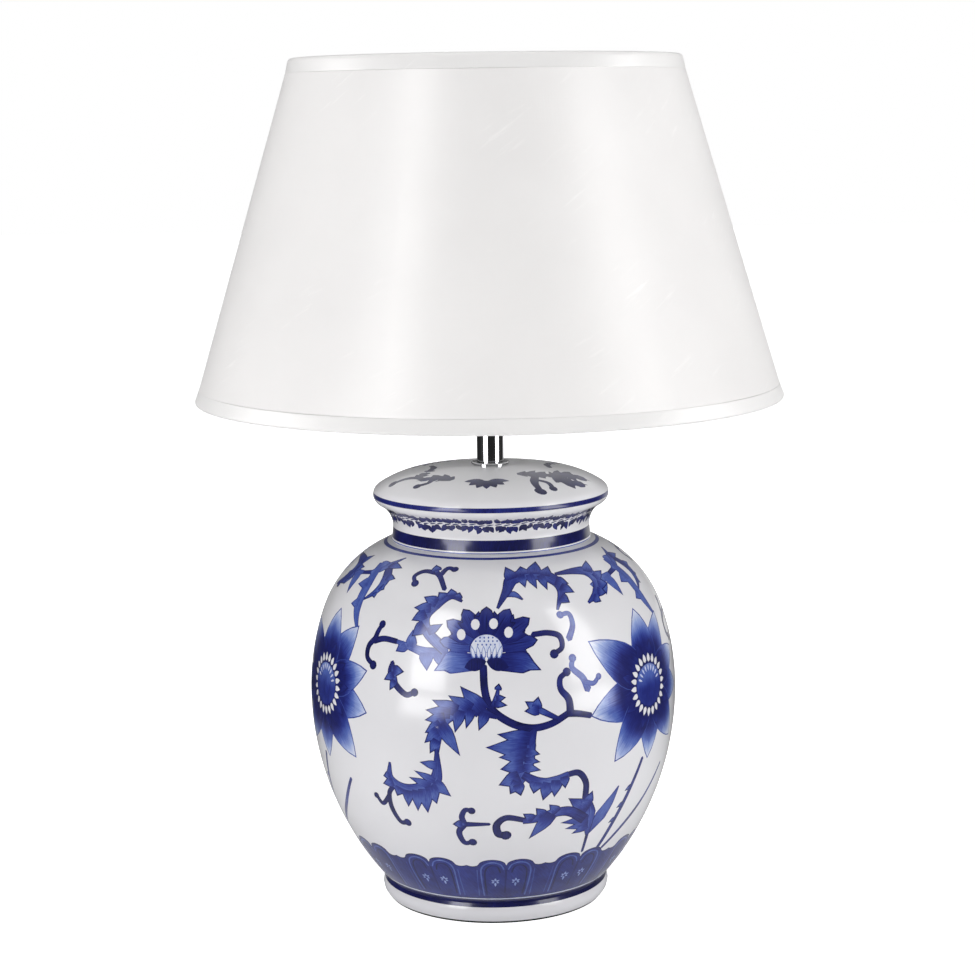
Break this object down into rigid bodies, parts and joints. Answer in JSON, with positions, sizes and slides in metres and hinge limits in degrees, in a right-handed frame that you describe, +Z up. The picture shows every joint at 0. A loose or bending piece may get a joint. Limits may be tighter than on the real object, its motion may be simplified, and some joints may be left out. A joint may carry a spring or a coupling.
{
  "type": "table lamp",
  "caption": "Ginger jar table lamp: glazed jar and domed lid clamped by a threaded tube, chrome stem, screw-in holder and bulb, tapered drum shade.",
  "frame": {"origin": "centre of the underside of the felt foot, on the surface the lamp stands on", "axes": "+Z up along the lamp's axis, -Y to the front, so the cord gland is at +Y"},
  "size_m": [0.35, 0.35, 0.5046],
  "materials": {
    "porcelain": "glossy clear glaze over white porcelain with cobalt blue painting",
    "felt": "dark felt",
    "plated_steel": "bright polished plating",
    "zinc_steel": "plain zinc-plated steel",
    "rubber": "matt black rubber",
    "holder_plastic": "smooth off-white plastic",
    "bushing_plastic": "off-white plastic",
    "core_ceramic": "unglazed white steatite",
    "contact_brass": "bright brass",
    "shade_fabric": "pale off-white satin with fine slubs",
    "shade_lining": "matt white styrene sheet",
    "wire": "white powder coating",
    "bulb_aluminium": "bright nickel-plated shell",
    "bulb_black": "black insulator",
    "bulb_white": "white housing",
    "bulb_diffuser": "milky diffuser"
  },
  "bodies": {
    "lamp": {"jar_body": "porcelain", "jar_lid": "porcelain", "foot_felt": "felt", "lamp_tube": "zinc_steel", "tube_rubber_washer": "rubber", "tube_steel_washer": "zinc_steel", "tube_lock_washer": "zinc_steel", "tube_nut": "zinc_steel", "tube_end_bushing": "bushing_plastic", "cord_gland": "bushing_plastic", "lid_flange": "plated_steel", "stem": "plated_steel", "stem_collar": "plated_steel", "holder_cap": "holder_plastic", "holder_cap_nut": "zinc_steel", "holder_core": "core_ceramic", "holder_shell": "contact_brass", "holder_skirt": "holder_plastic", "holder_contact_centre": "contact_brass", "holder_contact_side": "contact_brass", "holder_terminals": "contact_brass"},
    "shade": {"shade_backing": "shade_lining", "shade_cover": "shade_fabric", "shade_bottom_trim": "shade_fabric", "shade_top_trim": "shade_fabric", "shade_bottom_wire": "wire", "shade_top_wire": "wire", "shade_fitter": "wire", "shade_arms": "wire"},
    "shade_ring": {"holder_shade_ring": "holder_plastic"},
    "bulb_tip": {"bulb_contact": "contact_brass"},
    "bulb": {"bulb_insulator": "bulb_black", "bulb_cap": "bulb_aluminium", "bulb_housing": "bulb_white", "bulb_board": "bulb_aluminium", "bulb_globe": "bulb_diffuser"}
  },
  "joints": [
    {"name": "shade_swivel", "type": "hinge", "parent": "lamp", "child": "shade", "pos_m": [0, 0, 0.3377], "axis": [0, 0, 1], "continuous": true},
    {"name": "shade_ring_slide", "type": "slide", "parent": "lamp", "child": "shade_ring", "axis": [0, 0, 1], "range_m": [0, 0.012]},
    {"name": "bulb_lift", "type": "slide", "parent": "lamp", "child": "bulb_tip", "axis": [0, 0, 1], "range_m": [0, 0.01995]},
    {"name": "bulb_turn", "type": "hinge", "parent": "bulb_tip", "child": "bulb", "pos_m": [0, 0, 0.35], "axis": [0, 0, 1], "range_deg": [0, 1980]}
  ],
  "couplings": [
    {"joint": "bulb_turn", "follows": "bulb_lift", "rad_per_m": 1731.4}
  ]
}
